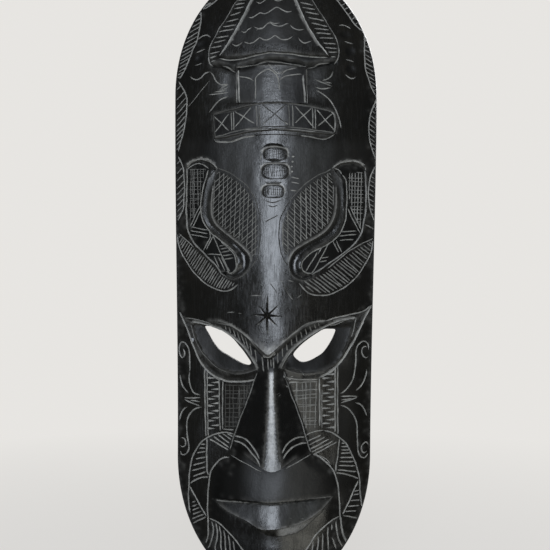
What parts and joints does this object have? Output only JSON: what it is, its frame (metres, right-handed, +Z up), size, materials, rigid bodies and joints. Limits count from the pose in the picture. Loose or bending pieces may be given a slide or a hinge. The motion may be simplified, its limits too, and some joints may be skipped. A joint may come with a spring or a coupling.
{
  "type": "carved wooden wall mask",
  "caption": "Tall oval wall mask carved from one block of dark-stained wood, with pierced eye slits, a hollowed back and a D-ring strap hanger.",
  "frame": {"origin": "hanging point: the inside top of the hanger ring, in the plane of the wall that the back rim rests on", "axes": "+Z up along the mask's height, +Y into the wall, -Y the way the carved face looks, +X to the right seen from the front"},
  "size_m": [0.1648, 0.0577, 0.5084],
  "materials": {
    "stained_wood": "black stain with a satin wax polish, incised lines dusty and lighter",
    "zinc_steel": "zinc plated, slightly dull",
    "ring_wire": "zinc plated wire, satin",
    "screw_brass": "satin, slightly aged"
  },
  "bodies": {
    "mask": {"mask_body": "stained_wood", "hanger_strap": "zinc_steel", "strap_screw_upper": "screw_brass", "strap_screw_lower": "screw_brass"},
    "ring": {"hanger_ring": "ring_wire"}
  },
  "joints": [
    {"name": "ring_pivot", "type": "hinge", "parent": "mask", "child": "ring", "pos_m": [0, -0.0057, -0.016], "axis": [-1, 0, 0], "range_deg": [-3, 165]}
  ]
}
